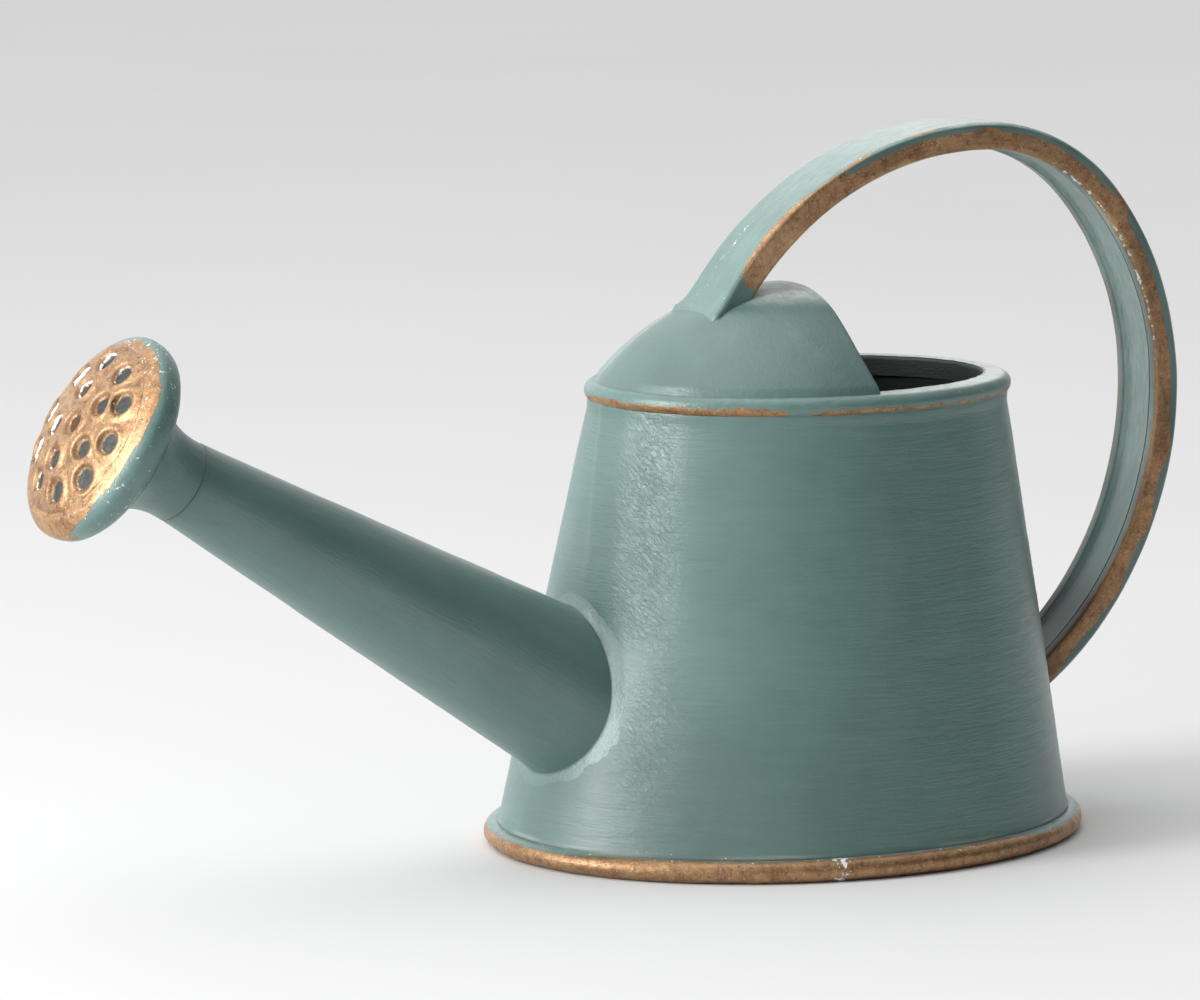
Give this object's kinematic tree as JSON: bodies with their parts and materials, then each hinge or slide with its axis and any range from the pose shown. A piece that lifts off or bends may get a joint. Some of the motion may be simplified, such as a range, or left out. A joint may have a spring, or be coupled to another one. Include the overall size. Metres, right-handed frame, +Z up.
{
  "type": "watering can",
  "caption": "Small oval watering can with half hood, hooped strap handle, straight spout and pull-off rose",
  "frame": {"origin": "Centre of the flat underside of the base", "axes": "+Z up, the spout points along -X, the handle stands at +X, and the can is symmetric about the XZ plane"},
  "size_m": [0.1611, 0.066, 0.0899],
  "materials": {
    "body_paint": "hand-brushed satin teal paint",
    "hood_paint": "hand-brushed teal paint with pale worn patches",
    "spout_paint": "smooth satin teal paint",
    "rim_paint": "teal and pale land with a broken gold band",
    "gold_trim": "dry-brushed antique gold over teal",
    "rose_paint": "teal paint with worn pale spots",
    "rose_gold": "antique gold with dark teal in the holes",
    "handle_paint": "brushed teal paint",
    "handle_gold": "dry-brushed antique gold over teal"
  },
  "bodies": {
    "can": {"base_plate": "body_paint", "body_wall": "body_paint", "foot_ring": "gold_trim", "rim_ring": "rim_paint", "hood": "hood_paint", "spout_tube": "spout_paint", "spout_collar": "body_paint", "handle_strap": "handle_paint", "handle_edge_left": "handle_gold", "handle_edge_right": "handle_gold"},
    "rose": {"rose_neck": "rose_paint", "rose_rim": "rose_paint", "rose_face": "rose_gold"}
  },
  "joints": [
    {"name": "rose_slide", "type": "slide", "parent": "can", "child": "rose", "axis": [-0.8678, 0, 0.497], "range_m": [0, 0.02]}
  ]
}
